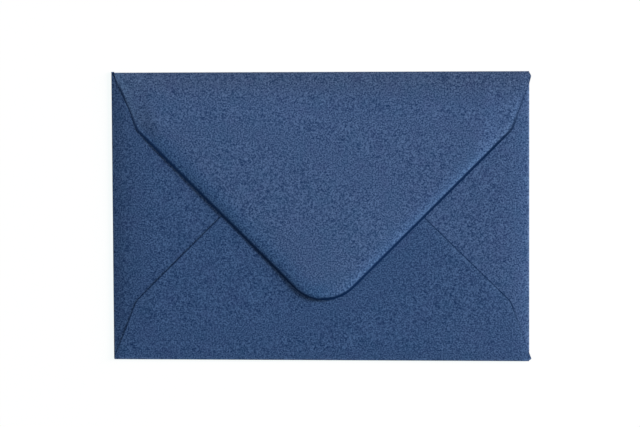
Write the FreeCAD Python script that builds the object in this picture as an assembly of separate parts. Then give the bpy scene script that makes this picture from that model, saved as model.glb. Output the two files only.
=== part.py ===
# Paper envelope with a deep pointed flap, folded from one die-cut sheet and gummed along two slanting
# seams.
# Millimetres and degrees. It lies on its front panel with the closed flap on top, as it would on a table.
# Origin: centre of the front panel's outer face. +X runs along the long side, +Y towards the flap's fold,
# +Z up.
#
# The sheet has five panels: the front, two side flaps folded in first, the bottom flap folded up over them
# and gummed down, and the top flap folded over all three. Every fold is a tight crease that stops short of
# a full half turn, because paper springs back, followed by a long shallow bow up to the flap's own level.
# A flap is its folded strip, seen from the fold's end, cut to its outline, seen from above.
import FreeCAD, Part
import math
import os
from dataclasses import dataclass

Vector = FreeCAD.Vector

# The body, measured over its folds
BODY_WIDTH = 160.0
BODY_HEIGHT = 110.6
PAPER = 0.16  # thickness of the sheet
POCKET_GAP = 1.7  # clear height inside the empty pocket, under the side flaps
GUM = 0.05  # thickness of the dried gum in the two seams
GUM_SETBACK = 1.2  # bare paper left around each gummed area
FLAP_CLEARANCE = 0.06  # air between the bottom flap and the top flap, where the top flap's bow ends
CORNER_CLEARANCE = 0.05  # between one fold's end and the fold that passes it

# The folds: inside radius of the crease, and how far short of a half turn it stops
SIDE_CREASE = 0.15
SIDE_SPRING = 12.0
BOTTOM_CREASE = 0.25
BOTTOM_SPRING = 15.0
TOP_CREASE = 0.34
TOP_SPRING = 14.0
TOP_SLOPE = 0.8  # the closed flap still climbs by this much towards its tip

# The top and bottom flaps: steep shoulders, then long slants to a rounded tip
SHOULDER_OUT = 22.7  # from the fold's outside to the shoulder
SHOULDER_ROUND = 6.0
TOP_SHOULDER_INSET = 8.7  # from the body's edge in to the shoulder, before the drift
TOP_REACH = 87.0  # from the fold's outside to the tip
TOP_TIP_ROUND = 16.3
TOP_DRIFT = 1.6  # the flap is cut this far towards +X of the body's centre
TOP_LEFT_START = 1.2  # from the body's left edge to the end of the flap's fold
BOTTOM_SHOULDER_INSET = 8.1
BOTTOM_REACH = 80.0
BOTTOM_TIP_ROUND = 34.0
BOTTOM_DRIFT = 0.5
BOTTOM_LEFT_START = 0.1

# Where the cut lies beyond the side fold, the right-hand corners of both flaps stand out past it
TOP_EAR_OUT = 0.9
TOP_EAR_IN = 1.6  # from the fold's outside to the ear's point
TOP_EAR_ROUND = 0.9
BOTTOM_EAR_OUT = 0.85
BOTTOM_EAR_IN = 0.9
BOTTOM_EAR_ROUND = 0.25

# The side flaps: straight edges from the body's corners to a rounded tip
SIDE_REACH = 49.4
SIDE_TIP_ROUND = 14.0
CORNER_NUB = 0.3  # the left side fold ends this far past the top fold
NUB_RELIEF = 0.3  # slit between that end and the top flap's fold


@dataclass(frozen=True)
class Fold:
    """One fold's section: u runs inwards from the fold's outside, z up from the floor."""

    crease: float  # inside radius
    spring: float  # degrees short of a half turn
    level: float  # height of the flap's outer face where the bow ends
    slope: float = 0.0  # degrees by which the flap still climbs after that

    @property
    def radius(self):
        """Outside radius of the crease."""
        return self.crease + PAPER

    @property
    def bow(self):
        """Outside radius of the bow, which brings the flap to its level."""
        start = math.cos(math.radians(self.spring))
        end = math.cos(math.radians(self.slope))
        return (self.level - self.radius * (1 + start)) / (end - start)

    def bow_centre(self):
        """Centre of the bow, on the line from the crease's centre through the crease's end."""
        lean = math.radians(90 + self.spring)
        back = self.radius - self.bow
        return self.radius + back * math.cos(lean), self.radius + back * math.sin(lean)

    def bow_end(self):
        """Distance from the fold's outside at which the bow ends."""
        return self.bow_centre()[0] + self.bow * math.cos(math.radians(90 + self.slope))

    def section(self, reach):
        """Face of the folded strip from the front panel's edge to past reach, in the plane x = 0."""
        bottom, top, end = 270.0, 90 + self.spring, 90 + self.slope
        crease_at = (self.radius, self.radius)
        bow_at = self.bow_centre()
        run = (reach - self.bow_end() + self.bow) / math.cos(math.radians(self.slope))

        def face_side(inset):
            """Edges of one side of the strip, from the front panel outwards, round and back in."""
            crease = arc(crease_at, self.radius - inset, bottom, top)
            bow = arc(bow_at, self.bow - inset, top, end)
            start = polar(bow_at, self.bow - inset, end)
            finish = polar(start, run, self.slope)
            return [crease, bow, Part.makeLine(start, finish)], finish

        outer, outer_end = face_side(0.0)
        inner, inner_end = face_side(PAPER)
        closing = [
            Part.makeLine(outer_end, inner_end),
            Part.makeLine(Vector(0, self.radius, 0), Vector(0, self.radius, PAPER)),
        ]
        return Part.Face(Part.Wire(Part.__sortEdges__(outer + inner + closing)))


def polar(centre, radius, angle):
    """Point at an angle from a centre, both in the section's plane."""
    u, z = (centre.y, centre.z) if isinstance(centre, FreeCAD.Vector) else centre
    turn = math.radians(angle)
    return Vector(0, u + radius * math.cos(turn), z + radius * math.sin(turn))


def arc(centre, radius, start, end):
    """Arc in the section's plane, between two angles."""
    points = [polar(centre, radius, a) for a in (start, (start + end) / 2, end)]
    return Part.Arc(*points).toShape()


def crossing(p, p_angle, q, q_angle):
    """Where the line through p at one angle, in radians, meets the line through q at another."""
    run = (q[0] - p[0]) * math.sin(q_angle) - (q[1] - p[1]) * math.cos(q_angle)
    step = run / math.sin(q_angle - p_angle)
    return p[0] + step * math.cos(p_angle), p[1] + step * math.sin(p_angle)


def tip_corner(left, right, centre, radius):
    """Corner at which the two edges that touch the tip's circle would meet if the tip weren't rounded."""

    def touching(point, turn):
        dx, dy = centre[0] - point[0], centre[1] - point[1]
        return math.atan2(dy, dx) + turn * math.asin(radius / math.hypot(dx, dy))

    return crossing(left, touching(left, 1), right, touching(right, -1))


def rounded_outline(corners):
    """Face in the plane z = 0 from corners (x, y, radius), where a radius of 0 leaves the corner sharp."""
    edges = []
    ends = []
    for i, (x, y, radius) in enumerate(corners):
        here = Vector(x, y, 0)
        if radius <= 0:
            ends.append((here, here))
            continue
        back = (Vector(*corners[i - 1][:2], 0) - here).normalize()
        ahead = (Vector(*corners[(i + 1) % len(corners)][:2], 0) - here).normalize()
        half = back.getAngle(ahead) / 2
        first = here + back * (radius / math.tan(half))
        last = here + ahead * (radius / math.tan(half))
        middle = (back + ahead).normalize() * (radius / math.sin(half) - radius)
        edges.append(Part.Arc(first, here + middle, last).toShape())
        ends.append((first, last))
    for i, (_, leave) in enumerate(ends):
        edges.append(Part.makeLine(leave, ends[(i + 1) % len(ends)][0]))
    return Part.Face(Part.Wire(Part.__sortEdges__(edges)))


@dataclass(frozen=True)
class PointedFlap:
    """The top or the bottom flap, seen with +X to the right and its fold below it."""

    fold: Fold
    left_start: float
    drift: float
    shoulder_inset: float
    reach: float
    tip_round: float
    ear_out: float
    ear_in: float
    ear_round: float

    def outline(self):
        """Corners of the flap: x along the fold, y inwards from the fold's outside."""
        start, end = self.left_start - HALF_WIDTH, HALF_WIDTH
        shoulder = HALF_WIDTH - self.shoulder_inset
        left = (self.drift - shoulder, SHOULDER_OUT)
        right = (self.drift + shoulder, SHOULDER_OUT)
        tip = tip_corner(left, right, (self.drift, self.reach - self.tip_round), self.tip_round)
        return [
            (start, 0, 0),
            (start, self.fold.radius, 0),
            (*left, SHOULDER_ROUND),
            (*tip, self.tip_round),
            (*right, SHOULDER_ROUND),
            (end + self.ear_out, self.ear_in, self.ear_round),
            (end, self.fold.radius, 0),
            (end, 0, 0),
        ]


def side_outline(fold, start, end):
    """Outline of a side flap: x along the fold, y inwards."""
    left, right = (start, fold.radius), (end, fold.radius)
    tip = tip_corner(left, right, (0.0, SIDE_REACH - SIDE_TIP_ROUND), SIDE_TIP_ROUND)
    return [(start, 0, 0), (*left, 0), (*tip, SIDE_TIP_ROUND), (*right, 0), (end, 0, 0)]


def flap(fold, outline, reach):
    """Folded strip cut to its outline, with its fold along x and its outside at y = 0."""
    face = rounded_outline(outline)
    box = face.BoundBox
    strip = fold.section(reach)
    strip.translate(Vector(box.XMin - PAPER, 0, 0))
    strip = strip.extrude(Vector(box.XLength + 2 * PAPER, 0, 0))
    height = strip.BoundBox.ZMax + PAPER
    face.translate(Vector(0, 0, -PAPER))
    return strip.common(face.extrude(Vector(0, 0, height + PAPER)))


def placed(shape, turn, x, y):
    """Shape turned about the vertical and moved to its side of the body."""
    moved = shape.copy()
    moved.rotate(Vector(0, 0, 0), Vector(0, 0, 1), turn)
    moved.translate(Vector(x, y, 0))
    return moved


def mirrored(outline):
    """The same outline with its start and end exchanged."""
    return [(-x, y, radius) for x, y, radius in reversed(outline)]


SIDE_LEVEL = PAPER + POCKET_GAP + PAPER
BOTTOM_LEVEL = SIDE_LEVEL + GUM + PAPER
TOP_LEVEL = BOTTOM_LEVEL + FLAP_CLEARANCE + PAPER
SIDE_FOLD = Fold(SIDE_CREASE, SIDE_SPRING, SIDE_LEVEL)
BOTTOM_FOLD = Fold(BOTTOM_CREASE, BOTTOM_SPRING, BOTTOM_LEVEL)
TOP_FOLD = Fold(TOP_CREASE, TOP_SPRING, TOP_LEVEL, TOP_SLOPE)
TOP_FLAP = PointedFlap(
    fold=TOP_FOLD,
    left_start=TOP_LEFT_START,
    drift=TOP_DRIFT,
    shoulder_inset=TOP_SHOULDER_INSET,
    reach=TOP_REACH,
    tip_round=TOP_TIP_ROUND,
    ear_out=TOP_EAR_OUT,
    ear_in=TOP_EAR_IN,
    ear_round=TOP_EAR_ROUND,
)
BOTTOM_FLAP = PointedFlap(
    fold=BOTTOM_FOLD,
    left_start=BOTTOM_LEFT_START,
    drift=BOTTOM_DRIFT,
    shoulder_inset=BOTTOM_SHOULDER_INSET,
    reach=BOTTOM_REACH,
    tip_round=BOTTOM_TIP_ROUND,
    ear_out=BOTTOM_EAR_OUT,
    ear_in=BOTTOM_EAR_IN,
    ear_round=BOTTOM_EAR_ROUND,
)
HALF_WIDTH = BODY_WIDTH / 2
HALF_HEIGHT = BODY_HEIGHT / 2

# Where the side folds and the front panel end, measured from the body's centre
SIDE_BOTTOM_END = -(HALF_HEIGHT - BOTTOM_FOLD.radius - CORNER_CLEARANCE)
SIDE_TOP_END = HALF_HEIGHT - TOP_FOLD.radius - CORNER_CLEARANCE
NUB_END = HALF_HEIGHT + CORNER_NUB


def front_panel():
    """Flat panel between the creases, with the small corner left of the top flap's fold."""
    left, right = -HALF_WIDTH + SIDE_FOLD.radius, HALF_WIDTH - SIDE_FOLD.radius
    bottom, top = -HALF_HEIGHT + BOTTOM_FOLD.radius, HALF_HEIGHT - TOP_FOLD.radius
    slit = -HALF_WIDTH + TOP_LEFT_START - NUB_RELIEF
    points = [
        (left, bottom),
        (right, bottom),
        (right, top),
        (slit, top),
        (slit, NUB_END),
        (left, NUB_END),
    ]
    corners = [Vector(x, y, 0) for x, y in points]
    return Part.Face(Part.makePolygon(corners + corners[:1])).extrude(Vector(0, 0, PAPER))


def right_outline():
    return side_outline(SIDE_FOLD, SIDE_BOTTOM_END, SIDE_TOP_END)


def left_outline():
    """Outline of the left flap, whose crease alone runs on to the nub."""
    corners = side_outline(SIDE_FOLD, -SIDE_TOP_END, -SIDE_BOTTOM_END)
    return [(-NUB_END, 0, 0), (-NUB_END, SIDE_FOLD.radius, 0), *corners[1:]]


def left_flap():
    return placed(flap(SIDE_FOLD, left_outline(), SIDE_REACH), -90, -HALF_WIDTH, 0)


def right_flap():
    return placed(flap(SIDE_FOLD, right_outline(), SIDE_REACH), 90, HALF_WIDTH, 0)


def bottom_flap():
    return placed(flap(BOTTOM_FOLD, BOTTOM_FLAP.outline(), BOTTOM_REACH), 0, 0, -HALF_HEIGHT)


def top_flap():
    return placed(flap(TOP_FOLD, mirrored(TOP_FLAP.outline()), TOP_REACH), 180, 0, HALF_HEIGHT)


def seam_gum(side):
    """Dried gum between a side flap and the bottom flap, where both lie level; side is -1 left, 1 right."""
    outline = right_outline() if side > 0 else left_outline()
    under = placed(rounded_outline(outline), 90 * side, side * HALF_WIDTH, 0)
    over = placed(rounded_outline(BOTTOM_FLAP.outline()), 0, 0, -HALF_HEIGHT)
    start = BOTTOM_FOLD.bow_end() - HALF_HEIGHT
    inner = HALF_WIDTH - SIDE_FOLD.bow_end()
    level = Part.makePlane(2 * inner, BODY_HEIGHT, Vector(-inner, start, 0))
    overlap = under.common(over).common(level).Faces[0]
    gummed = overlap.makeOffset2D(-GUM_SETBACK)
    gummed.translate(Vector(0, 0, SIDE_LEVEL))
    return gummed.extrude(Vector(0, 0, GUM))


def envelope_sheet():
    """The whole folded sheet as one solid."""
    pieces = [left_flap(), right_flap(), bottom_flap(), top_flap(), seam_gum(-1), seam_gum(1)]
    sheet = front_panel().fuse(pieces).removeSplitter()
    return sheet.Solids[0] if len(sheet.Solids) == 1 else sheet


def main():
    os.makedirs("parts", exist_ok=True)
    sheet = envelope_sheet()
    sheet.exportStep("parts/envelope_sheet.step")
    box = sheet.BoundBox
    print(f"solids {len(sheet.Solids)}, valid {sheet.isValid()}, volume {sheet.Volume:.1f} mm3")
    print(f"size {box.XLength:.2f} x {box.YLength:.2f} x {box.ZLength:.2f} mm")


main()
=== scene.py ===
"""Dresses the paper envelope: the folded sheet as fine mesh, its mottled paper, the studio and the camera.

Sizes are in millimetres and degrees while a piece is made, and its mesh is brought to metres at the end.
"""
import logging
import math
from dataclasses import dataclass, field
from enum import Enum
from typing import Any, Sequence

import bmesh
import bpy
from mathutils import Euler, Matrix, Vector


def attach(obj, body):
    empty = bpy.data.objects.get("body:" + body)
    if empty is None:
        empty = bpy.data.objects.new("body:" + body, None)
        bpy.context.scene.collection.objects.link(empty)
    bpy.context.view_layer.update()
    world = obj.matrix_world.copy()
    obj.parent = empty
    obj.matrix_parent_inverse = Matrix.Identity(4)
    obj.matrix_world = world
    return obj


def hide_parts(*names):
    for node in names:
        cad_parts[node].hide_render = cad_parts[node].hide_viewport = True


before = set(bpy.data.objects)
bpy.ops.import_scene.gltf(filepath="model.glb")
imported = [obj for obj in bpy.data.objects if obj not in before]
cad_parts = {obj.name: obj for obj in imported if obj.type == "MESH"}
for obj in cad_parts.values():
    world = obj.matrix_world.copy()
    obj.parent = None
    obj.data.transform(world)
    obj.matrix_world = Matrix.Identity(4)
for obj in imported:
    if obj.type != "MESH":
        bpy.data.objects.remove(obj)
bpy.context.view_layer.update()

LOG = logging.getLogger("envelope")
METRE = 1000.0
HALVINGS = 40  # steps of a search by halves
MIX_SHARE, MIX_FIRST, MIX_SECOND, MIX_RESULT = 0, 6, 7, 2  # a Mix node's sockets for colours

Colour = tuple[int, int, int]
Corner = tuple[float, float, float]
Stretch = tuple[float, float]  # where a change starts and its length, or a span's two ends


class Panel(Enum):
    """The sheet's panels that fold over the front."""

    TOP = "top"
    BOTTOM = "bottom"
    LEFT = "left"
    RIGHT = "right"


# --------------------------------------------------------------------------- shader helpers


class Socket:
    """A shader value that can be used in Python expressions."""

    def __init__(self, graph: "Graph", output: Any) -> None:
        """Wraps an output socket.

        Args:
            graph: the graph that new nodes are added to.
            output: the socket whose value this stands for.
        """
        self.graph = graph
        self.output = output

    def _maths(self, operation: str, first: Any, second: Any) -> "Socket":
        """Adds one Math node.

        Args:
            operation: the node's operation.
            first: a number or a Socket.
            second: a number or a Socket.

        Returns:
            The node's result.
        """
        return self.graph.add("ShaderNodeMath", {"operation": operation}, {0: first, 1: second})

    def __add__(self, other: Any) -> "Socket":
        """This plus other."""
        return self._maths("ADD", self, other)

    def __radd__(self, other: Any) -> "Socket":
        """Other plus this."""
        return self._maths("ADD", other, self)

    def __rsub__(self, other: Any) -> "Socket":
        """Other minus this."""
        return self._maths("SUBTRACT", other, self)

    def __mul__(self, other: Any) -> "Socket":
        """This times other."""
        return self._maths("MULTIPLY", self, other)

    def __rmul__(self, other: Any) -> "Socket":
        """Other times this."""
        return self._maths("MULTIPLY", other, self)

    def spread(self, low: float, high: float) -> "Socket":
        """Brings the stretch from low to high to 0 to 1, clamped and eased at both ends.

        Args:
            low: the value that becomes 0.
            high: the value that becomes 1.

        Returns:
            The eased value.
        """
        settings = {"interpolation_type": "SMOOTHSTEP"}
        return self.graph.add(
            "ShaderNodeMapRange", settings, {"Value": self, "From Min": low, "From Max": high}, "Result"
        )


@dataclass(frozen=True)
class Grain:
    """One scale of noise: its size in millimetres, its finer octaves and the span of values it uses."""

    size: float
    octaves: float
    octave_strength: float
    span: Stretch = (0.0, 1.0)


class Graph:
    """Adds nodes to one node tree."""

    def __init__(self, tree: bpy.types.NodeTree) -> None:
        """Empties the tree.

        Args:
            tree: the node tree to fill.
        """
        self.tree = tree
        tree.nodes.clear()

    def add(
        self,
        kind: str,
        settings: dict[str, Any] | None = None,
        values: dict[Any, Any] | None = None,
        out: Any = 0,
    ) -> Socket:
        """Adds a node of any type.

        Args:
            kind: the node's type.
            settings: its own properties, set first.
            values: numbers, colours or Sockets for its inputs, by name or index.
            out: name or index of the output wanted.

        Returns:
            The chosen output.
        """
        node = self.tree.nodes.new(kind)
        for name, value in (settings or {}).items():
            setattr(node, name, value)
        for key, value in (values or {}).items():
            if isinstance(value, Socket):
                self.tree.links.new(value.output, node.inputs[key])
            else:
                node.inputs[key].default_value = value
        has_output = len(node.outputs) > 0
        return Socket(self, node.outputs[out] if has_output else None)

    def noise(self, place: Socket, grain: Grain) -> Socket:
        """Soft noise of a given grain, before its span is used.

        Args:
            place: coordinates in metres.
            grain: the noise's size and octaves.

        Returns:
            The noise's value, about 0.5 on average.
        """
        values = {
            "Vector": place,
            "Scale": METRE / grain.size,
            "Detail": grain.octaves,
            "Roughness": grain.octave_strength,
        }
        return self.add("ShaderNodeTexNoise", {"noise_dimensions": "3D"}, values, "Fac")

    def blend(self, share: Any, first: Any, second: Any, mode: str = "MIX") -> Socket:
        """Mixes two colours.

        Args:
            share: how much of the second colour there is.
            first: a colour or a Socket.
            second: a colour or a Socket.
            mode: the way they are mixed.

        Returns:
            The mixed colour.
        """
        settings = {"data_type": "RGBA", "blend_type": mode, "clamp_factor": True}
        values = {MIX_SHARE: share, MIX_FIRST: first, MIX_SECOND: second}
        return self.add("ShaderNodeMix", settings, values, MIX_RESULT)

    def attribute(self, name: str) -> Socket:
        """Value of one of the mesh's own attributes."""
        return self.add("ShaderNodeAttribute", {"attribute_name": name}, out="Fac")


def linear(red: int, green: int, blue: int) -> tuple[float, float, float, float]:
    """A screen colour as the shader's linear one.

    Args:
        red: 0 to 255.
        green: 0 to 255.
        blue: 0 to 255.

    Returns:
        Linear red, green, blue and an alpha of 1.
    """

    def channel(value: float) -> float:
        """One channel, made linear."""
        share = value / 255
        return share / 12.92 if share <= 0.04045 else ((share + 0.055) / 1.055) ** 2.4

    return channel(red), channel(green), channel(blue), 1.0


# --------------------------------------------------------------------------- finishes


@dataclass(frozen=True)
class MottledPaper:
    """Dark blue uncoated paper, dyed through, with pale and dark fibres.

    Lengths are in millimetres. Three tones multiply the paper's colour: painted shade per panel, painted
    shade along the top fold that also greys the right fold's outer edge, and a bluer painted shade tint on
    the top flap's curled edges.
    """

    deep: Colour = (19, 48, 91)
    pale: Colour = (96, 123, 166)
    plum: Colour = (68, 80, 127)
    teal: Colour = (47, 87, 125)
    # painted shade per panel
    panel_shade_tone: tuple[float, float, float] = (0.69, 0.80, 0.86)
    # painted shade along the top fold; the same tone greys the right fold's outer edge
    fold_shade_and_grey_tone: tuple[float, float, float] = (1.0, 0.84, 0.74)
    # bluer painted shade tint on the top flap's curled edges
    edge_shade_tint: tuple[float, float, float] = (0.80, 1.05, 1.12)
    # dark cut edge, widened with painted shadow of the gap beside it
    cut: Colour = (3, 34, 72)
    # pale band: painted highlight along the cut edges and seams, wear with painted highlight at the folds
    pale_band: Colour = (136, 176, 224)
    mottle: Grain = Grain(0.56, 2.0, 0.6, (0.28, 0.76))
    clouds: Grain = Grain(9.0, 2.0, 0.5, (0.30, 0.70))
    drift: Grain = Grain(4.05, 2.0, 0.5, (0.35, 0.65))
    drift_share: float = 0.18
    pale_band_share: float = 0.04
    pale_band_fibres: float = 0.12
    tooth: Grain = Grain(0.35, 3.0, 0.6)
    tooth_depth: float = 0.04
    tooth_strength: float = 0.3
    roughness: float = 0.65
    fibre_gloss: float = 0.08
    sheen: float = 0.08
    name: str = "mottled_blue_paper"

    def material(self) -> bpy.types.Material:
        """Makes the paper's material.

        Returns:
            A material that reads Object coordinates and the sheet's painted shade per panel, painted fold
            shade with a greyer right fold edge, painted edge shade tint, wear with painted highlight, and
            dark edge with painted shadow.
        """
        made = bpy.data.materials.new(self.name)
        made.use_nodes = True
        graph = Graph(made.node_tree)
        place = graph.add("ShaderNodeTexCoord", out="Object")
        mottle = graph.noise(place, self.mottle).spread(*self.mottle.span)
        clouds = graph.noise(place, self.clouds).spread(*self.clouds.span)
        drift = graph.noise(place, self.drift).spread(*self.drift.span)
        base = graph.blend(mottle, linear(*self.deep), linear(*self.pale))
        tint = graph.blend(clouds, linear(*self.plum), linear(*self.teal))
        base = graph.blend(drift * self.drift_share, base, tint)
        # painted shade per panel, painted shade along the top fold (which also greys the right fold's outer
        # edge), and painted shade tint on the top flap's curled edges
        for name, tone in (("panel_shade", self.panel_shade_tone), ("fold_shade_and_grey", self.fold_shade_and_grey_tone), ("edge_shade_tint", self.edge_shade_tint)):
            base = graph.blend(graph.attribute(name), base, (*tone, 1.0), "MULTIPLY")
        # pale band: painted highlight along the cut edges and seams, wear with painted highlight at the
        # folds
        wear_and_highlight = graph.attribute("wear_and_highlight") * (self.pale_band_share + self.pale_band_fibres * mottle)
        base = graph.blend(wear_and_highlight, base, linear(*self.pale_band))
        # dark cut edge, widened with painted shadow of the gap beside it
        base = graph.blend(graph.attribute("dark_edge_and_shadow"), base, linear(*self.cut))
        bump = {
            "Strength": self.tooth_strength,
            "Distance": self.tooth_depth / METRE,
            "Height": graph.noise(place, self.tooth),
        }
        look = {
            "Base Color": base,
            "Roughness": self.roughness - self.fibre_gloss * mottle,
            "Normal": graph.add("ShaderNodeBump", None, bump, "Normal"),
            "Specular IOR Level": self.sheen,
        }
        surface = graph.add("ShaderNodeBsdfPrincipled", None, look)
        graph.add("ShaderNodeOutputMaterial", None, {"Surface": surface})
        return made


@dataclass(frozen=True)
class WhiteSweep:
    """The studio's floor: plain white to the camera, with the object's faint shadow on it."""

    # the lit share is redder than the glow, so the floor turns faintly cyan where the shadow falls: painted
    # blue bounce light from the paper
    glow: tuple[float, float, float] = (0.87, 0.93, 0.93)
    lit: tuple[float, float, float] = (0.165, 0.09, 0.09)
    pale: tuple[float, float, float] = (0.8, 0.8, 0.8)
    name: str = "white_sweep"

    def material(self) -> bpy.types.Material:
        """Makes the floor's material.

        Returns:
            A pale diffuse material that camera, glossy and transmission rays see as white but for shadow.
        """
        made = bpy.data.materials.new(self.name)
        made.use_nodes = True
        graph = Graph(made.node_tree)
        pale = graph.add("ShaderNodeBsdfDiffuse", None, {"Color": (*self.pale, 1.0)})
        glow = graph.add("ShaderNodeEmission", None, {"Color": (*self.glow, 1.0), "Strength": 1.0})
        lit = graph.add("ShaderNodeBsdfDiffuse", None, {"Color": (*self.lit, 1.0)})
        white = graph.add("ShaderNodeAddShader", None, {0: glow, 1: lit})
        seen = graph.add("ShaderNodeLightPath", out="Is Camera Ray")
        mirrored = graph.add("ShaderNodeLightPath", out="Is Glossy Ray")
        through = graph.add("ShaderNodeLightPath", out="Is Transmission Ray")
        shown = seen + mirrored + through
        surface = graph.add("ShaderNodeMixShader", None, {0: shown, 1: pale, 2: white})
        graph.add("ShaderNodeOutputMaterial", None, {"Surface": surface})
        return made


# --------------------------------------------------------------------------- the folded sheet


@dataclass(frozen=True)
class Fold:
    """Outer surface of one fold's section: a tight crease, then a rise that eases off with distance."""

    crease: float
    spring: float
    level: float
    slope: float
    paper: float

    @property
    def radius(self) -> float:
        """Outside radius of the crease."""
        return self.crease + self.paper

    @property
    def crease_run(self) -> float:
        """Length of the sheet taken up by the crease."""
        return self.radius * math.radians(180 - self.spring)

    @property
    def ease(self) -> float:
        """Length over which the springback eases off."""
        climb = self.level - self.radius * (1 + math.cos(math.radians(self.spring)))
        return climb / math.radians(self.spring - self.slope)

    def at(self, run: float) -> tuple[float, float]:
        """Where a point of the sheet comes to lie, with the bow's slope taken as small.

        Args:
            run: its distance along the sheet from the crease's start.

        Returns:
            Its distance inwards from the fold's outside, and its height.
        """
        angle = math.radians(270) - min(run, self.crease_run) / self.radius
        across = self.radius * (1 + math.cos(angle))
        up = self.radius * (1 + math.sin(angle))
        past = max(run - self.crease_run, 0.0)
        left = 1 - math.exp(-past / self.ease)
        extra = math.radians(self.spring - self.slope)
        shorter = 0.25 * self.ease * extra * extra * (1 - math.exp(-2 * past / self.ease))
        return across + past - shorter, up + math.radians(self.slope) * past + extra * self.ease * left

    def rise(self, inwards: float) -> float:
        """Height at a distance inwards from the fold's outside, or the crease's where that is nearer.

        Args:
            inwards: the distance.

        Returns:
            The height.
        """
        return self.at(self.crease_run + max(inwards - self.radius, 0.0))[1]

    def run_to(self, inwards: float) -> float:
        """Length of sheet from the crease's start to a distance inwards from the fold's outside.

        Args:
            inwards: the distance, at least the crease's radius.

        Returns:
            The length along the sheet.
        """
        low, high = self.crease_run, self.crease_run + 2 * inwards
        for _ in range(HALVINGS):
            middle = (low + high) / 2
            low, high = (middle, high) if self.at(middle)[0] < inwards else (low, middle)
        return low


def eased(share: float) -> float:
    """A share clamped to 0 to 1 and eased at both ends."""
    share = min(max(share, 0.0), 1.0)
    return share * share * (3 - 2 * share)


def ramp(value: float, start: float, length: float) -> float:
    """Eased rise from 0 at the start to 1 a length further on."""
    return eased((value - start) / length)


def soft_min(first: float, second: float, blend: float) -> float:
    """The lesser of two values, with a rounded change-over.

    Args:
        first: a value.
        second: a value.
        blend: the difference at which the rounding begins.

    Returns:
        The lesser value, or a little less near the change-over.
    """
    share = min(max(0.5 + 0.5 * (second - first) / blend, 0.0), 1.0)
    return second + (first - second) * share - blend * share * (1 - share)


def meeting(left: Vector, right: Vector, centre: Vector, radius: float) -> Vector:
    """Corner at which the two edges that touch a tip's circle would meet.

    Args:
        left: a point of the left edge.
        right: a point of the right edge.
        centre: the circle's centre.
        radius: the circle's radius.

    Returns:
        The corner.
    """
    lines = []
    for point, turn in ((left, 1), (right, -1)):
        to_centre = centre - point
        angle = math.atan2(to_centre.y, to_centre.x) + turn * math.asin(radius / to_centre.length)
        lines.append((point, Vector((math.cos(angle), math.sin(angle)))))
    (p, a), (q, b) = lines
    step = (q - p).cross(b) / a.cross(b)
    return p + a * step


@dataclass(frozen=True)
class PointedFlap:
    """Sizes of the top or bottom flap: places along its fold, and distances inwards from the fold."""

    fold: Fold
    start: float
    end: float
    drift: float
    left_shoulder: tuple[float, float]
    right_shoulder: tuple[float, float]
    shoulder_round: float
    reach: float
    tip_round: float
    ear_out: float
    ear_in: float
    ear_round: float
    flank: float
    flank_round: float = 0.3

    @property
    def tip(self) -> Vector:
        """Centre of the rounded tip, along the fold and along the sheet."""
        return Vector((self.drift, self.fold.run_to(self.reach) - self.tip_round))

    def corners(self, crease_end: float) -> list[Corner]:
        """Outline in the flat sheet, from the fold's left end over the tip to its right end.

        Args:
            crease_end: where the fold's right end lies on the front panel.

        Returns:
            Corners along the fold and outwards, each with its rounding.
        """
        shoulders = (self.left_shoulder, self.right_shoulder)
        left, right = (Vector((x, self.fold.run_to(out))) for x, out in shoulders)
        peak = meeting(left, right, self.tip, self.tip_round)
        crease = self.fold.crease_run
        return [
            (self.start, 0.0, 0.0),
            (self.start, crease, 0.0),
            (left.x, left.y, self.shoulder_round),
            (peak.x, peak.y, self.tip_round),
            (right.x, right.y, self.shoulder_round),
            (self.end, self.fold.run_to(self.flank), self.flank_round),
            (self.end + self.ear_out, self.fold.run_to(self.ear_in), self.ear_round),
            (self.end, crease, 0.0),
            (crease_end, 0.0, 0.0),
        ]


@dataclass(frozen=True)
class CutEdge:
    """How dark one slanting cut edge looks, the dark edge itself with painted shadow of the gap beside it:
    it comes in near the fold and gains further out.

    Near and far hold an amount, and where its rise starts and how long that is. The edge starts narrower
    at the fold, widens over the given stretch, and gains a little more width towards the tip.
    """

    width: float
    softness: float
    near: tuple[float, float, float]
    far: tuple[float, float, float]
    tip_gain: float = 0.0
    fold_share: float = 0.62
    widens: Stretch = (5.0, 22.0)
    tip_zone: Stretch = (75.0, 8.0)

    def shade(self, distance: float, past: float) -> float:
        """How much of the dark edge colour, with its painted shadow, there is.

        Args:
            distance: the point's distance from the cut edge.
            past: its distance from the fold.

        Returns:
            0 for plain paper to 1 for the cut edge.
        """
        share = sum(amount * ramp(past, start, length) for amount, start, length in (self.near, self.far))
        width = self.width * (self.fold_share + (1.0 - self.fold_share) * ramp(past, *self.widens))
        width += self.tip_gain * ramp(past, *self.tip_zone)
        return share * min(max(0.5 + (width - distance) / self.softness, 0.0), 1.0)


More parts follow.
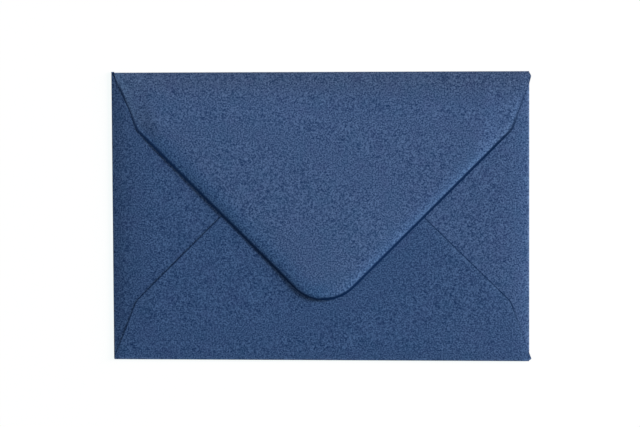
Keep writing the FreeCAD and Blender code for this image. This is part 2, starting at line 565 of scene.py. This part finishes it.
@dataclass(frozen=True)
class FlapTint:
    """How the top flap's colour changes towards its cut edges: a painted highlight band and a bluer painted
    shade tint.

    A stretch runs from the cut edge, or from the fold where its name ends in starts, ends or weakens.
    """

    # painted highlight band along the cut edges
    band: Stretch = (1.2, 2.4)
    right_starts: Stretch = (6.0, 10.0)
    right_weakens: Stretch = (45.0, 25.0)
    right_loss: float = 0.35
    left_gain: float = 1.2
    left_ends: Stretch = (14.0, 12.0)
    left_spread: Stretch = (8.0, 6.0)
    left_spread_share: float = 0.3
    tip_side: float = 6.0
    tip_loss: float = 0.55
    # painted shade tint along the cut edges
    shade_tint_left: Stretch = (0.0, 10.0)
    shade_tint_left_starts: Stretch = (18.0, 10.0)
    shade_tint_right: Stretch = (0.0, 6.0)
    shade_tint_right_starts: Stretch = (25.0, 15.0)

    def paleness(self, distance: float, past: float, x: float) -> float:
        """Painted highlight: a paler band just inside the cut edge.

        Args:
            distance: the point's distance from the cut edge.
            past: its distance from the fold.
            x: the point in the plan.

        Returns:
            0 for plain paper to about 1 where it is palest.
        """
        band = 1.0 - ramp(distance, *self.band)
        if x > 0:
            weaker = 1.0 - self.right_loss * ramp(past, *self.right_weakens)
            return band * ramp(past, *self.right_starts) * weaker
        band += self.left_spread_share * (1.0 - ramp(distance, *self.left_spread))
        return band * self.left_gain * (1.0 - ramp(past, *self.left_ends))

    def edge_shade_tint_share(self, distance: float, past: float, x: float) -> float:
        """How much painted shade tint there is towards the cut edge: bluer, with red held down.

        Args:
            distance: the point's distance from the cut edge.
            past: its distance from the fold.
            x: the point in the plan.

        Returns:
            0 for plain paper to 1 where it is bluest.
        """
        kept = 1.0 - self.tip_loss
        if x > self.tip_side:
            return kept * (1.0 - ramp(distance, *self.shade_tint_right)) * ramp(past, *self.shade_tint_right_starts)
        side = 1.0 - self.tip_loss * ramp(x, 0.0, self.tip_side)
        return (1.0 - ramp(distance, *self.shade_tint_left)) * ramp(past, *self.shade_tint_left_starts) * side


@dataclass(frozen=True)
class SideFlap:
    """Sizes of a side flap: places along its fold, and the distance inwards that it reaches."""

    fold: Fold
    start: float
    end: float
    reach: float
    tip_round: float

    def corners(self) -> list[Corner]:
        """Outline in the flat sheet, from the fold's upper end over the tip to its lower end.

        Returns:
            Corners along the fold and outwards, each with its rounding.
        """
        crease = self.fold.crease_run
        high, low = Vector((self.end, crease)), Vector((self.start, crease))
        centre = Vector((0.0, self.fold.run_to(self.reach) - self.tip_round))
        peak = meeting(low, high, centre, self.tip_round)
        return [
            (self.end, 0.0, 0.0),
            (self.end, crease, 0.0),
            (peak.x, peak.y, self.tip_round),
            (self.start, crease, 0.0),
            (self.start, 0.0, 0.0),
        ]


@dataclass
class EnvelopeSheet:
    """The one die-cut sheet: it is cut flat, scored, sliced finely, folded and given its thickness.

    Springs, the top flap's slope, round_step and smooth_angle are in degrees.
    """

    # the sheet, its folds and its corners
    width: float = 160.0
    height: float = 110.6
    paper: float = 0.16
    pocket: float = 1.45
    gum: float = 0.05
    clearance: float = 0.06
    side_crease: float = 0.15
    left_spring: float = 10.0
    right_spring: float = 7.5
    side_reach: float = 49.4
    side_tip_round: float = 14.0
    bottom_crease: float = 0.25
    bottom_spring: float = 6.5
    top_crease: float = 0.34
    top_spring: float = 8.0
    top_slope: float = 0.75
    nub: float = 0.3
    nub_relief: float = 0.06
    corner_clearance: float = 0.05
    # how finely it is cut
    round_step: float = 6.0
    merge_gap: float = 0.001
    cut_gap: float = 0.02
    slice_step: float = 1.3
    bow_step: float = 0.8
    bow_length: float = 14.0
    crease_slices: int = 9
    top_rows: tuple[float, ...] = (0.35, 0.75, 1.25, 2.1)
    bottom_rows: tuple[float, ...] = (0.25, 0.6)
    row_margin: float = 0.7
    shortest_row: float = 0.3
    smooth_angle: float = 40.0
    # how the top flap lifts, curls and waves
    top_lift: float = 0.35
    left_curl: float = 0.78
    right_curl: float = 0.6
    tip_curl: float = 0.25
    tip_shift: float = 5.0
    tip_width: float = 25.0
    curl_length: float = 4.8
    rim_curl: float = 0.5
    rim_length: float = 1.5
    lift_zone: Stretch = (4.0, 20.0)
    under_zone: Stretch = (8.0, 28.0)
    wave: float = 0.05
    wave_across: tuple[float, float] = (0.11, 0.6)  # radians per millimetre, and its phase
    wave_along: tuple[float, float] = (0.083, 1.1)
    hold_blend: float = 0.3
    # how the flaps sag, drape and rest on each other
    sag: float = 0.6
    sag_along: float = 14.0
    sag_across: Stretch = (-50.0, 110.0)
    drape: float = 0.6
    drape_rise: float = 3.0
    drape_zone: Stretch = (10.0, 25.0)
    rest_gap: float = 0.01
    press_length: float = 1.5
    # how the finish, with its painted light and shade, is spread over the sheet: a fold shade is an amount
    # and the length over which it goes
    nub_rim: float = 0.4
    # pale band: wear with painted highlight at the folds, and painted highlight along the bottom flap's
    # seams, stronger on the right
    pale_band: float = 1.2
    pale_band_seam: Stretch = (0.6, 1.8)
    pale_band_left: float = 0.2
    pale_band_right: float = 0.5
    # a greyer band along the right fold's outer edge
    greyed: float = 0.8
    # painted shade along the top fold
    fold_shade_wide: tuple[float, float] = (0.55, 14.0)
    fold_shade_narrow: tuple[float, float] = (0.45, 1.6)
    # painted shade per panel, growing towards the left flap's lower end and easing towards the bottom
    # flap's right end
    front_panel_shade: float = 0.5
    left_panel_shade_slope: float = 0.006
    bottom_pale: Stretch = (25.0, 35.0)
    bottom_pale_share: float = 0.25
    panel_shades: dict[Panel, float] = field(
        default_factory=lambda: {Panel.TOP: 0.0, Panel.BOTTOM: 0.95, Panel.LEFT: 0.8, Panel.RIGHT: 0.15}
    )
    tint: FlapTint = field(default_factory=FlapTint)
    finish: MottledPaper = field(default_factory=MottledPaper)
    name: str = "folded_sheet"

    def __post_init__(self) -> None:
        """Works out the folds and flaps from the sizes."""
        side_level = 2 * self.paper + self.pocket
        bottom_level = side_level + self.gum + self.paper
        top_level = bottom_level + self.clearance + self.paper
        half_w, half_h = self.width / 2, self.height / 2
        right_level = side_level - self.sag
        self.left_fold = Fold(self.side_crease, self.left_spring, side_level, 0.0, self.paper)
        self.right_fold = Fold(self.side_crease, self.right_spring, right_level, 0.0, self.paper)
        self.bottom_fold = Fold(self.bottom_crease, self.bottom_spring, bottom_level, 0.0, self.paper)
        self.top_fold = Fold(self.top_crease, self.top_spring, top_level, self.top_slope, self.paper)
        self.half_front = half_w - self.left_fold.radius
        self.front_low = -half_h + self.bottom_fold.radius
        self.front_high = half_h - self.top_fold.radius
        self.top = PointedFlap(
            self.top_fold, start=1.1 - half_w, end=half_w, drift=1.65,
            left_shoulder=(9.7 - half_w, 22.2), right_shoulder=(half_w - 6.2, 22.3), shoulder_round=6.0,
            reach=87.3, tip_round=16.3, ear_out=0.74, ear_in=1.75, ear_round=1.0, flank=4.6,
        )
        self.bottom = PointedFlap(
            self.bottom_fold, start=0.1 - half_w, end=half_w, drift=0.96,
            left_shoulder=(9.04 - half_w, 22.8), right_shoulder=(half_w - 6.98, 23.15), shoulder_round=6.0,
            reach=80.0, tip_round=34.0, ear_out=0.84, ear_in=0.9, ear_round=0.25, flank=3.3,
        )
        low = self.front_low + self.corner_clearance
        high = self.front_high - self.corner_clearance
        self.cuts: dict[Panel, list[tuple[Vector, Vector]]] = {}
        # dark cut edges, widened with painted shadow of the gap beside them
        self.cut_edges = {  # each flap's left edge, then its right one
            Panel.TOP: (
                CutEdge(0.95, softness=0.5, near=(0.85, 2.5, 5.0), far=(0.13, 18.0, 12.0), tip_gain=-0.22),
                CutEdge(1.0, softness=0.4, near=(0.72, 3.5, 7.0), far=(0.28, 17.0, 12.0), tip_gain=0.1),
            ),
            Panel.BOTTOM: (
                CutEdge(0.23, softness=0.35, near=(0.75, 0.0, 4.0), far=(0.23, 5.0, 9.0)),
                CutEdge(0.43, softness=0.35, near=(0.32, 0.0, 4.0), far=(0.48, 13.0, 9.0)),
            ),
        }
        self.right = SideFlap(self.right_fold, low, high, self.side_reach, self.side_tip_round)
        self.left = SideFlap(self.left_fold, low, self.front_high, self.side_reach, self.side_tip_round)

    def _face(self, mesh: bmesh.types.BMesh, corners: Sequence[Corner]) -> None:
        """Cuts one panel out as a flat face with rounded corners.

        Args:
            mesh: the flat sheet.
            corners: its corners in the flat sheet, each with its rounding.
        """
        verts = [mesh.verts.new((x, y, 0.0)) for x, y, _ in corners]
        face = bmesh.ops.contextual_create(mesh, geom=verts)["faces"][0]
        face.normal_update()
        if face.normal.z > 0:
            bmesh.ops.reverse_faces(mesh, faces=[face])
        for vert, (_, _, radius) in zip(verts, corners):
            if radius <= 0:
                continue
            arms = [(edge.other_vert(vert).co - vert.co) for edge in vert.link_edges]
            half = arms[0].angle(arms[1]) / 2
            steps = max(4, round(math.degrees(math.pi - 2 * half) / self.round_step))
            bmesh.ops.bevel(
                mesh, geom=[vert], offset=radius / math.tan(half), offset_type="OFFSET", segments=steps,
                profile=0.5, affect="VERTICES", clamp_overlap=True, material=-1,
            )

    def _panels(self, mesh: bmesh.types.BMesh) -> None:
        """Cuts out the front and the four flaps, still flat.

        Args:
            mesh: an empty mesh to fill.
        """
        edge, low, high = self.half_front, self.front_low, self.front_high
        side_low, side_high = low + self.corner_clearance, high - self.corner_clearance
        nub_high = self.height / 2 + self.nub
        slit = self.top.start - self.nub_relief
        crease = self.left_fold.crease_run
        front = [
            (-edge, low), (edge, low), (edge, side_low), (edge, side_high), (edge, high),
            (self.top.start, high), (slit, high), (-edge, high), (-edge, side_low),
        ]
        self._face(mesh, [(x, y, 0.0) for x, y in front])
        for inner, outer in ((slit, -edge), (-edge, -edge - crease)):
            nub = ((inner, high), (inner, nub_high), (outer, nub_high), (outer, high))
            self._face(mesh, [(x, y, 0.0) for x, y in nub])
        self._face(mesh, [(x, high + run, r) for x, run, r in self.top.corners(edge)])
        outline = self.bottom.corners(edge)
        bottom = [(max(x, -edge) if run == 0 else x, low - run, r) for x, run, r in outline]
        self._face(mesh, bottom)
        self._face(mesh, [(edge + run, y, r) for y, run, r in self.right.corners()])
        self._face(mesh, [(-edge - run, y, r) for y, run, r in self.left.corners()])
        bmesh.ops.remove_doubles(mesh, verts=mesh.verts[:], dist=self.merge_gap)

    def _slice(
        self, mesh: bmesh.types.BMesh, faces: Sequence[bmesh.types.BMFace], point: Vector, normal: Vector
    ) -> list[bmesh.types.BMFace]:
        """Cuts faces along a plane and keeps both sides.

        Args:
            mesh: the flat sheet.
            faces: the faces to cut.
            point: a point of the plane.
            normal: the plane's normal.

        Returns:
            The faces after the cut.
        """
        geometry = set(faces)
        geometry.update(edge for face in faces for edge in face.edges)
        geometry.update(vert for face in faces for vert in face.verts)
        cut = bmesh.ops.bisect_plane(
            mesh, geom=list(geometry), dist=self.cut_gap, plane_co=point, plane_no=normal
        )
        return [part for part in cut["geom"] if isinstance(part, bmesh.types.BMFace)]

    def _slice_ladder(
        self,
        mesh: bmesh.types.BMesh,
        faces: Sequence[bmesh.types.BMFace],
        axis: int,
        places: Sequence[float],
    ) -> None:
        """Cuts faces at many places along one axis, halving the work at each cut.

        Args:
            mesh: the flat sheet.
            faces: the faces to cut.
            axis: 0 for cuts across x, 1 for cuts across y.
            places: where the cuts go, in rising order.
        """
        if not places or not faces:
            return
        middle = len(places) // 2
        normal = Vector((1, 0, 0)) if axis == 0 else Vector((0, 1, 0))
        faces = self._slice(mesh, faces, normal * places[middle], normal)
        sides: tuple[list[bmesh.types.BMFace], list[bmesh.types.BMFace]] = ([], [])
        for face in faces:
            sides[face.calc_center_median()[axis] > places[middle]].append(face)
        self._slice_ladder(mesh, sides[0], axis, places[:middle])
        self._slice_ladder(mesh, sides[1], axis, places[middle + 1:])

    def _steps(self, fold: Fold, reach: float) -> list[float]:
        """Runs along the sheet at which a flap is sliced, fine in the crease and in the bow.

        Args:
            fold: the flap's fold.
            reach: how far the flap runs.

        Returns:
            Distances from the crease's start.
        """
        crease = fold.crease_run
        runs = [crease * i / self.crease_slices for i in range(1, self.crease_slices + 1)]
        bows = math.ceil(self.bow_length / self.bow_step)
        runs += [crease + self.bow_length * i / bows for i in range(1, bows + 1)]
        left = reach - crease - self.bow_length
        rest = math.ceil(left / self.slice_step)
        runs += [crease + self.bow_length + left * i / rest for i in range(1, rest)]
        return runs

    def _slice_all(self, mesh: bmesh.types.BMesh) -> None:
        """Slices the flat sheet both ways, so that it can bend.

        Args:
            mesh: the flat sheet.
        """
        edge, low, high = self.half_front, self.front_low, self.front_high
        across = math.ceil(2 * edge / self.slice_step)
        xs = [-edge + 2 * edge * i / across for i in range(1, across)]
        xs += [edge + run for run in self._steps(self.right_fold, self.right_fold.run_to(self.right.reach))]
        xs += [-edge - run for run in self._steps(self.left_fold, self.left_fold.run_to(self.left.reach))]
        along = math.ceil((high - low) / self.slice_step)
        ys = [low + (high - low) * i / along for i in range(1, along)]
        ys += [high + run for run in self._steps(self.top_fold, self.top_fold.run_to(self.top.reach))]
        reach = self.bottom_fold.run_to(self.bottom.reach)
        ys += [low - run for run in self._steps(self.bottom_fold, reach)]
        self._slice_ladder(mesh, mesh.faces[:], 0, sorted(xs))
        self._slice_ladder(mesh, mesh.faces[:], 1, sorted(ys))

    def _cut_edges(self, mesh: bmesh.types.BMesh) -> dict[Panel, list[tuple[Vector, Vector]]]:
        """The cut edges of the two pointed flaps, which can be seen.

        Args:
            mesh: the flat sheet, before it is sliced.

        Returns:
            Each flap's cut edges as pairs of points.
        """
        found: dict[Panel, list[tuple[Vector, Vector]]] = {Panel.TOP: [], Panel.BOTTOM: []}
        for edge in mesh.edges:
            ends = [vert.co.copy() for vert in edge.verts]
            panel = self._panel_of((ends[0] + ends[1]) / 2)
            if edge.is_boundary and panel in found:
                found[panel].append((ends[0], ends[1]))
        return found

    def _edge_distance(self, panel: Panel, place: Vector) -> float:
        """Distance of a point of a pointed flap from its cut edge, in the flat sheet.

        Args:
            panel: the top or the bottom flap.
            place: the point.

        Returns:
            The distance, which is 0 on the edge.
        """
        nearest = math.inf
        for first, last in self.cuts[panel]:
            along = last - first
            share = (place - first).dot(along) / along.length_squared
            nearest = min(nearest, (first + along * min(max(share, 0.0), 1.0) - place).length)
        return nearest

    def _slice_edges(self, mesh: bmesh.types.BMesh) -> None:
        """Adds slices alongside the pointed flaps' cut edges.

        Args:
            mesh: the flat sheet.
        """
        for panel, offsets in ((Panel.TOP, self.top_rows), (Panel.BOTTOM, self.bottom_rows)):
            base, sign = (self.front_high, 1.0) if panel is Panel.TOP else (self.front_low, -1.0)
            flap = self.top if panel is Panel.TOP else self.bottom
            inside = Vector((flap.drift, base + sign * self.height / 3, 0))
            reach = max(offsets) + 2 * self.slice_step
            for first, last in self.cuts[panel]:
                length = (last - first).length
                if length < self.shortest_row:
                    continue
                along = (last - first).normalized()
                normal = along.cross(Vector((0, 0, 1)))
                if normal.dot(inside - first) < 0:
                    normal.negate()
                near = []
                for face in mesh.faces:
                    away = face.calc_center_median() - first
                    beside = -self.row_margin < away.dot(along) < length + self.row_margin
                    if beside and 0 < away.dot(normal) < reach:
                        near.append(face)
                for offset in offsets:
                    near = self._slice(mesh, near, first + normal * offset, normal)

    def _panel_of(self, place: Vector) -> Panel | None:
        """The flap that a point of the flat sheet belongs to, or None for the front.

        Args:
            place: the point.

        Returns:
            The flap.
        """
        near = 1e-4
        if place.y > self.front_high + near and place.x > self.top.start - near:
            return Panel.TOP
        if place.y < self.front_low - near:
            return Panel.BOTTOM
        if place.x > self.half_front + near:
            return Panel.RIGHT
        if place.x < -self.half_front - near:
            return Panel.LEFT
        return None

    def _rest(self, plain: float, x: float, y: float, above: float) -> float:
        """Height of a flap that lies on the side flaps and droops over their folds.

        Args:
            plain: its height from its own fold alone.
            x: the point in the plan.
            y: the point in the plan.
            above: how far it lies above the side flaps.

        Returns:
            Its height.
        """
        sag = self.sag * ramp(self.height / 2 - abs(y), 0.0, self.sag_along) * ramp(x, *self.sag_across)
        side = self.right_fold if x > 0 else self.left_fold
        inwards = self.width / 2 - abs(x)
        free = self.drape_rise * ramp(inwards, *self.drape_zone)
        return soft_min(plain - sag, side.rise(inwards) + above + free, self.drape)

    def _top_height(self, plain: float, distance: float, x: float, y: float) -> float:
        """Height of the top flap, which is free: it has lifted a little and its edges curl down.

        Args:
            plain: its height from its own fold alone.
            distance: the point's distance from the cut edge.
            x: the point in the plan.
            y: the point in the plan.

        Returns:
            Its height, never less than that at which it rests on the bottom flap.
        """
        under = (self.gum + self.paper) * ramp(self.width / 2 - abs(x), *self.under_zone)
        above = under + self.paper + self.clearance
        free = ramp(self.height / 2 - y, *self.lift_zone)
        aside = (x - self.top.drift - self.tip_shift) / self.tip_width
        amount = self.tip_curl + (self.left_curl - self.tip_curl) * eased(-aside)
        amount += (self.right_curl - self.tip_curl) * eased(aside)
        curl = self.rim_curl * math.exp(-distance / self.rim_length)
        curl += amount * math.exp(-distance / self.curl_length)
        (pace, shift), (pace_y, shift_y) = self.wave_across, self.wave_along
        wave = self.wave * math.sin(x * pace + shift) * math.sin(y * pace_y + shift_y)
        height = self._rest(plain, x, y, above) + free * (self.top_lift - curl + wave)
        lowest = self._rest(self.left_fold.level + under, x, y, under) + self.paper + self.rest_gap
        held = -soft_min(-height, -lowest, self.hold_blend)
        return height + (held - height) * free

    def _cover(self, panel: Panel, x: float, y: float) -> tuple[float, Vector]:
        """How far a point of a side flap lies under a pointed flap.

        Args:
            panel: the top or the bottom flap.
            x: the point in the plan.
            y: the point in the plan.

        Returns:
            Its distance inside the pointed flap's outline along x, negative outside, and the place of the
            flat sheet that comes to lie over it.
        """
        if panel is Panel.TOP:
            flap, past, base, sign = self.top, self.height / 2 - y, self.front_high, 1.0
        else:
            flap, past, base, sign = self.bottom, self.height / 2 + y, self.front_low, -1.0
        over = Vector((x, base + sign * (flap.fold.crease_run + past - flap.fold.radius), 0.0))
        for first, last in self.cuts[panel]:
            low, high = sorted((first, last), key=lambda end: end.y)
            same_side = (first.x + last.x) / 2 * x > 0
            if same_side and low.y <= over.y < high.y:
                edge = low.x + (high.x - low.x) * (over.y - low.y) / (high.y - low.y)
                return abs(edge) - abs(x), over
        return -1.0, over

    def _side_height(self, plain: float, x: float, y: float) -> float:
        """Height of a side flap, which is pressed down where a pointed flap lies over it.

        Args:
            plain: its height from its own fold alone.
            x: the point in the plan.
            y: the point in the plan.

        Returns:
            Its height.
        """
        height = plain
        for panel in (Panel.BOTTOM, Panel.TOP):
            inside, over = self._cover(panel, x, y)
            if inside <= 0:
                continue
            if panel is Panel.BOTTOM:
                above = self._rest(self.bottom_fold.rise(self.height / 2 + y), x, y, self.gum + self.paper)
            else:
                rise = self.top_fold.rise(self.height / 2 - y)
                above = self._top_height(rise, self._edge_distance(panel, over), x, y)
            ceiling = above - self.paper - self.rest_gap
            height -= eased(inside / self.press_length) * max(0.0, height - ceiling)
        return height

    def _panel_shade(self, panel: Panel | None, flat: Vector) -> float:
        """How much painted shade a point's panel gets.

        Args:
            panel: the flap that the point belongs to, or None for the front.
            flat: the point in the flat sheet.

        Returns:
            0 for no painted shade to 1 for the most.
        """
        panel_shade = self.panel_shades.get(panel, self.front_panel_shade)
        # painted shade grows towards the left flap's lower end and eases towards the bottom flap's right
        # end
        if panel is Panel.LEFT:
            panel_shade -= self.left_panel_shade_slope * flat.y
        elif panel is Panel.BOTTOM:
            panel_shade -= self.bottom_pale_share * ramp(flat.x, *self.bottom_pale)
        return min(panel_shade, 1.0)

    def _fold(self, mesh: bmesh.types.BMesh) -> None:
        """Folds the flat sheet up and over, and notes what the finish needs to know, its painted light and
        shade included.

        Args:
            mesh: the flat sheet.
        """
        half_w, half_h = self.width / 2, self.height / 2
        names = ("dark_edge_and_shadow", "panel_shade", "wear_and_highlight", "fold_shade_and_grey", "edge_shade_tint")
        dark_edge_and_shadow, panel_shade, wear_and_highlight, fold_shade_and_grey, edge_shade_tint = (mesh.verts.layers.float.new(name) for name in names)
        for vert in mesh.verts:
            flat = vert.co.copy()
            panel = self._panel_of(flat)
            # painted shade per panel
            vert[panel_shade] = self._panel_shade(panel, flat)
            # the nub takes part of the same dark edge colour
            if panel is None and flat.y > self.front_high + self.cut_gap / 2:
                vert[dark_edge_and_shadow] = self.nub_rim
            if panel is None:
                continue
            x, y = flat.x, flat.y
            if panel is Panel.TOP:
                inwards, up = self.top_fold.at(flat.y - self.front_high)
                y = half_h - inwards
                distance = self._edge_distance(panel, flat)
                # dark cut edge with painted shadow of the gap beside it
                vert[dark_edge_and_shadow] = self.cut_edges[panel][x > 0].shade(distance, inwards)
                # painted highlight band along the cut edge
                vert[wear_and_highlight] = self.tint.paleness(distance, inwards, x)
                # painted shade tint along the cut edge
                vert[edge_shade_tint] = self.tint.edge_shade_tint_share(distance, inwards, x)
                # painted shade along the top fold
                fold_shades = (self.fold_shade_wide, self.fold_shade_narrow)
                vert[fold_shade_and_grey] = sum(amount * (1.0 - ramp(inwards, 0.0, length)) for amount, length in fold_shades)
                up = self._top_height(up, distance, x, y)
            elif panel is Panel.BOTTOM:
                inwards, up = self.bottom_fold.at(self.front_low - flat.y)
                y = inwards - half_h
                distance = self._edge_distance(panel, flat)
                # dark cut edge with painted shadow of the gap beside it
                vert[dark_edge_and_shadow] = self.cut_edges[panel][x > 0].shade(distance, inwards)
                # pale band: wear with painted highlight at the fold, painted highlight along the seams
                pale_band = self.pale_band_right if x > 0 else self.pale_band_left
                seam = pale_band * (1.0 - ramp(distance, *self.pale_band_seam))
                vert[wear_and_highlight] = max(0.0, 1.0 - inwards / self.pale_band, seam)
                up = self._rest(up, x, y, self.gum + self.paper)
            else:
                fold = self.left_fold if panel is Panel.LEFT else self.right_fold
                inwards, up = fold.at(abs(flat.x) - self.half_front)
                x = math.copysign(half_w - inwards, flat.x)
                up = self._side_height(up, x, y)
                # wear with painted highlight at the fold
                vert[wear_and_highlight] = max(0.0, 1.0 - inwards / self.pale_band)
                # a greyer band along the right fold's outer edge
                if panel is Panel.RIGHT:
                    vert[fold_shade_and_grey] = max(0.0, 1.0 - inwards / self.greyed)
            vert.co = (x, y, up)

    def build(self) -> bpy.types.Object:
        """Makes the sheet's object.

        Returns:
            The finished object, which stands for the CAD sheet.
        """
        mesh = bmesh.new()
        self._panels(mesh)
        self.cuts = self._cut_edges(mesh)
        self._slice_all(mesh)
        self._slice_edges(mesh)
        self._fold(mesh)
        bmesh.ops.solidify(mesh, geom=mesh.faces[:], thickness=self.paper)
        for edge in mesh.edges:
            edge.smooth = edge.calc_face_angle(0.0) < math.radians(self.smooth_angle)
        for face in mesh.faces:
            face.smooth = True
        bmesh.ops.scale(mesh, vec=Vector((1, 1, 1)) / METRE, verts=mesh.verts[:])
        data = bpy.data.meshes.new(self.name)
        mesh.to_mesh(data)
        mesh.free()
        made = bpy.data.objects.new(self.name, data)
        bpy.context.scene.collection.objects.link(made)
        data.materials.append(self.finish.material())
        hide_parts("envelope_sheet")
        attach(made, "root")
        return made


# --------------------------------------------------------------------------- studio and camera


@dataclass
class Softbox:
    """A square area lamp aimed at the envelope: angles in degrees, lengths in metres, power in watts."""

    name: str
    azimuth: float
    elevation: float
    distance: float
    size: float
    power: float
    colour: tuple[float, float, float] = (1.0, 1.0, 1.0)

    def build(self) -> bpy.types.Object:
        """Makes the lamp.

        Returns:
            The lamp's object.
        """
        lamp = bpy.data.lights.new(self.name, "AREA")
        lamp.shape = "SQUARE"
        lamp.size = self.size
        lamp.energy = self.power
        lamp.color = self.colour
        made = bpy.data.objects.new(self.name, lamp)
        round_about, up = math.radians(self.azimuth), math.radians(self.elevation)
        level = math.cos(up)
        away = Vector((math.cos(round_about) * level, math.sin(round_about) * level, math.sin(up)))
        made.location = away * self.distance
        made.rotation_euler = away.to_track_quat("Z", "Y").to_euler()
        bpy.context.scene.collection.objects.link(made)
        return made


@dataclass
class Studio:
    """White floor, one large softbox from the right, and even light from all round."""

    floor_size: float = 3.0  # m
    floor_drop: float = 0.02  # mm
    surround: float = 0.32
    surround_colour: tuple[float, float, float] = (0.95, 0.98, 1.0)
    floor: WhiteSweep = field(default_factory=WhiteSweep)
    key: Softbox = field(
        default_factory=lambda: Softbox(
            "key_softbox", azimuth=13.0, elevation=15.0, distance=4.0, size=1.5, power=335.0
        )
    )

    def build(self) -> None:
        """Makes the floor, the softbox and the surrounding light."""
        mesh = bmesh.new()
        bmesh.ops.create_grid(mesh, x_segments=1, y_segments=1, size=self.floor_size / 2)
        bmesh.ops.translate(mesh, vec=(0, 0, -self.floor_drop / METRE), verts=mesh.verts[:])
        data = bpy.data.meshes.new("floor")
        mesh.to_mesh(data)
        mesh.free()
        floor = bpy.data.objects.new("floor", data)
        bpy.context.scene.collection.objects.link(floor)
        data.materials.append(self.floor.material())
        self.key.build()
        world = bpy.data.worlds.new("studio_surround")
        bpy.context.scene.world = world
        world.use_nodes = True
        graph = Graph(world.node_tree)
        around = {"Color": (*self.surround_colour, 1.0), "Strength": self.surround}
        even = graph.add("ShaderNodeBackground", None, around)
        white = graph.add("ShaderNodeBackground", None, {"Strength": 1.0})
        seen = graph.add("ShaderNodeLightPath", out="Is Camera Ray")
        sky = graph.add("ShaderNodeMixShader", None, {0: seen, 1: even, 2: white})
        graph.add("ShaderNodeOutputWorld", None, {"Surface": sky})


@dataclass
class PhotoCamera:
    """The camera, as solved from the photograph's four corners, for an image of 640 by 427."""

    place: tuple[float, float, float] = (82.95, 68.01, 1015.75)  # mm
    turn: tuple[float, float, float] = (-3.7775, 4.6458, -0.2781)  # degrees
    lens: float = 150.0  # mm
    sensor: float = 36.0  # mm
    clip: tuple[float, float] = (0.01, 20.0)  # m

    def build(self) -> bpy.types.Object:
        """Makes the camera and gives it to the scene.

        Returns:
            The camera's object.
        """
        data = bpy.data.cameras.new("camera")
        data.lens = self.lens
        data.sensor_width = self.sensor
        data.clip_start, data.clip_end = self.clip
        made = bpy.data.objects.new("camera", data)
        made.location = Vector(self.place) / METRE
        made.rotation_euler = Euler([math.radians(a) for a in self.turn], "XYZ")
        bpy.context.scene.collection.objects.link(made)
        bpy.context.scene.camera = made
        return made


def main() -> None:
    """Builds the envelope, the studio and the camera, in that order."""
    logging.basicConfig(level=logging.INFO, format="%(message)s")
    sheet = EnvelopeSheet().build()
    LOG.info("%s: %d faces", sheet.name, len(sheet.data.polygons))
    Studio().build()
    LOG.info("studio: floor, key softbox and surround")
    camera = PhotoCamera().build()
    LOG.info("camera: %.0f mm lens", camera.data.lens)
    bpy.context.scene.view_settings.view_transform = "Standard"


if __name__ == "__main__":
    main()
